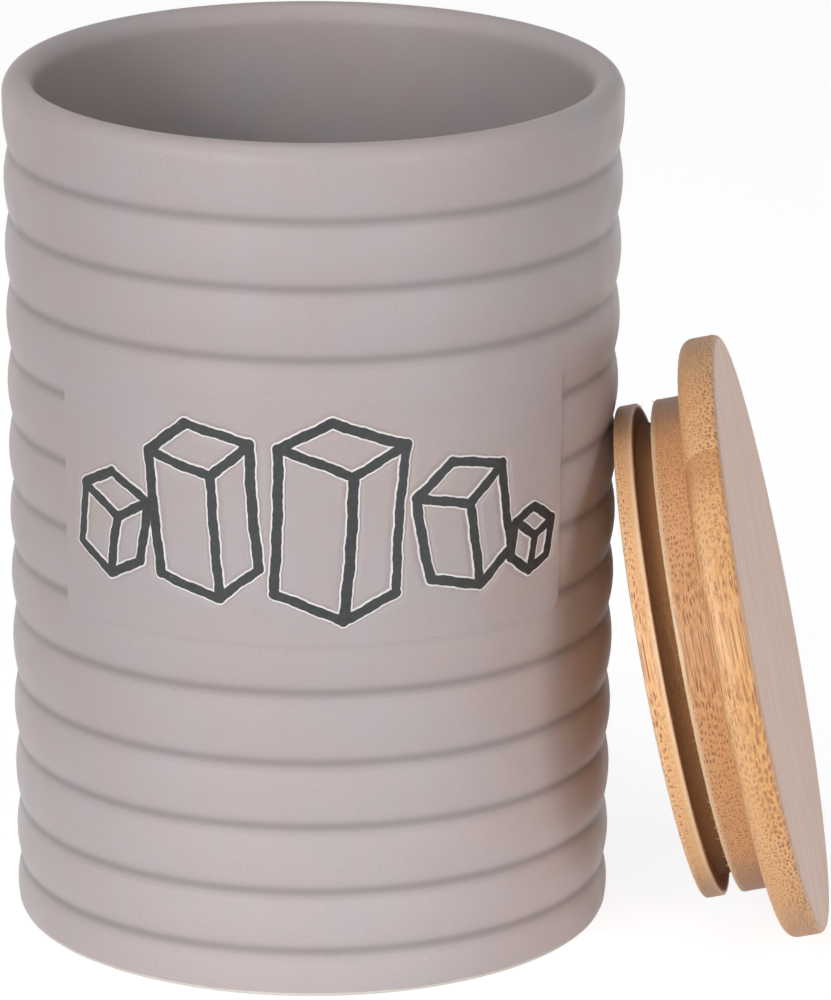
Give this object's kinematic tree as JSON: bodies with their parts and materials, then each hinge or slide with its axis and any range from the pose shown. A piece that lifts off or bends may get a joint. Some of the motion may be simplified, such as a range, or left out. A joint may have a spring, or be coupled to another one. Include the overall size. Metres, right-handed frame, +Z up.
{
  "type": "salt canister",
  "caption": "Ribbed ceramic kitchen canister with a smooth label panel and a turned bamboo plug lid, which is off and leans on its side.",
  "frame": {"origin": "on the jar's axis, in the plane that its foot ring stands on", "axes": "+Z up along the jar's axis, the label panel faces -Y, and the lid leans on the +X side"},
  "size_m": [0.1375, 0.1116, 0.1422],
  "materials": {
    "glaze": "satin taupe glaze, unglazed on the foot ring",
    "bamboo": "sanded caramelised bamboo, lightly oiled"
  },
  "bodies": {
    "jar": {"jar_body": "glaze"},
    "lid": {"lid_top_strip_1": "bamboo", "lid_top_strip_2": "bamboo", "lid_top_strip_3": "bamboo", "lid_top_strip_4": "bamboo", "lid_top_strip_5": "bamboo", "lid_top_strip_6": "bamboo", "lid_neck_strip_1": "bamboo", "lid_neck_strip_2": "bamboo", "lid_neck_strip_3": "bamboo", "lid_neck_strip_4": "bamboo", "lid_neck_strip_5": "bamboo", "lid_flange_strip_1": "bamboo", "lid_flange_strip_2": "bamboo", "lid_flange_strip_3": "bamboo", "lid_flange_strip_4": "bamboo"}
  },
  "joints": [
    {"name": "lid_lift", "type": "slide", "parent": "jar", "child": "lid", "axis": [0.1736, 0, 0.9848], "range_m": [0, 0.17]}
  ]
}
